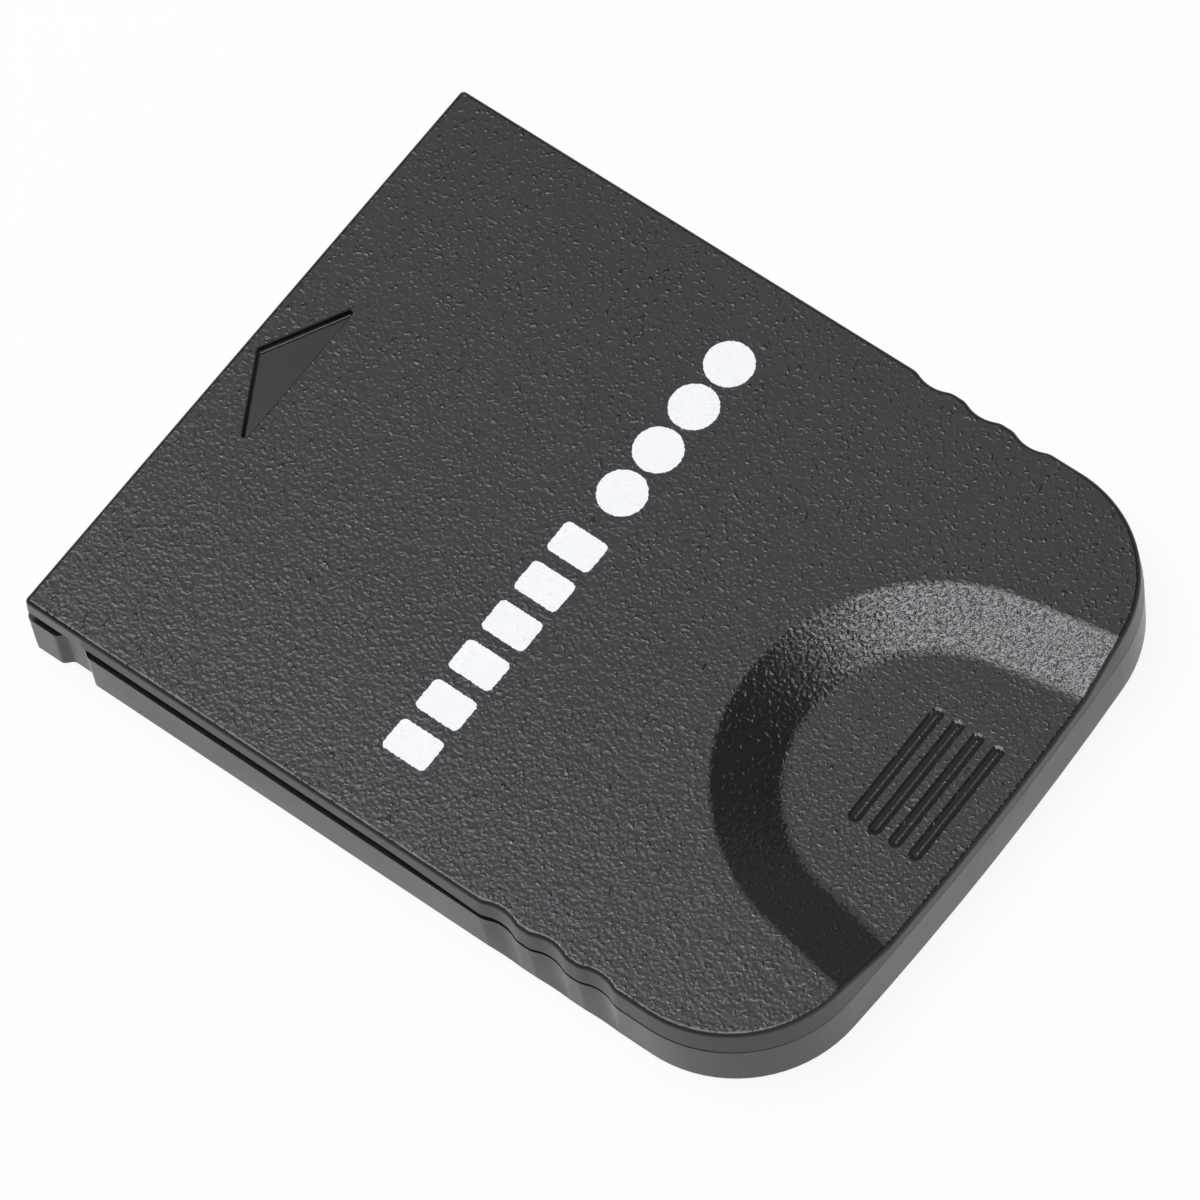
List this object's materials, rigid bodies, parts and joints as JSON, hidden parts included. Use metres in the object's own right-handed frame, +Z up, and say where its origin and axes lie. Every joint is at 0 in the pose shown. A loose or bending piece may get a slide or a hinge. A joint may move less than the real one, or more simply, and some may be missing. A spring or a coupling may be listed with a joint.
{
  "type": "console memory card",
  "caption": "Flat black plastic memory card with a dished thumb recess and grip grooves at one end, a sunk insertion arrow and a connector opening at the other.",
  "frame": {"origin": "centre of the underside, on the surface that the card lies on", "axes": "+Y to the end that goes into the console, +Z up out of the face with the thumb recess, +X across the card"},
  "size_m": [0.042, 0.0542, 0.0058],
  "materials": {
    "upper_case": "fine grained black moulding",
    "lower_case": "smooth black moulding",
    "board": "green solder resist on glass epoxy",
    "gold_plating": "gold plating",
    "chip_resin": "moulded epoxy",
    "tinned_lead": "tin plated",
    "capacitor_ceramic": "fired ceramic",
    "resistor_ceramic": "glazed ceramic"
  },
  "bodies": {
    "root": {"top_shell": "upper_case", "bottom_shell": "lower_case", "circuit_board": "board", "edge_contacts": "gold_plating", "memory_chip_body": "chip_resin", "memory_chip_leads": "tinned_lead", "controller_chip_body": "chip_resin", "controller_chip_leads": "tinned_lead", "capacitor_1": "capacitor_ceramic", "capacitor_2": "capacitor_ceramic", "capacitor_3": "capacitor_ceramic", "capacitor_4": "capacitor_ceramic", "resistor_1": "resistor_ceramic", "resistor_2": "resistor_ceramic", "resistor_3": "resistor_ceramic", "resistor_4": "resistor_ceramic", "resistor_5": "resistor_ceramic", "resistor_6": "resistor_ceramic"}
  },
  "joints": []
}
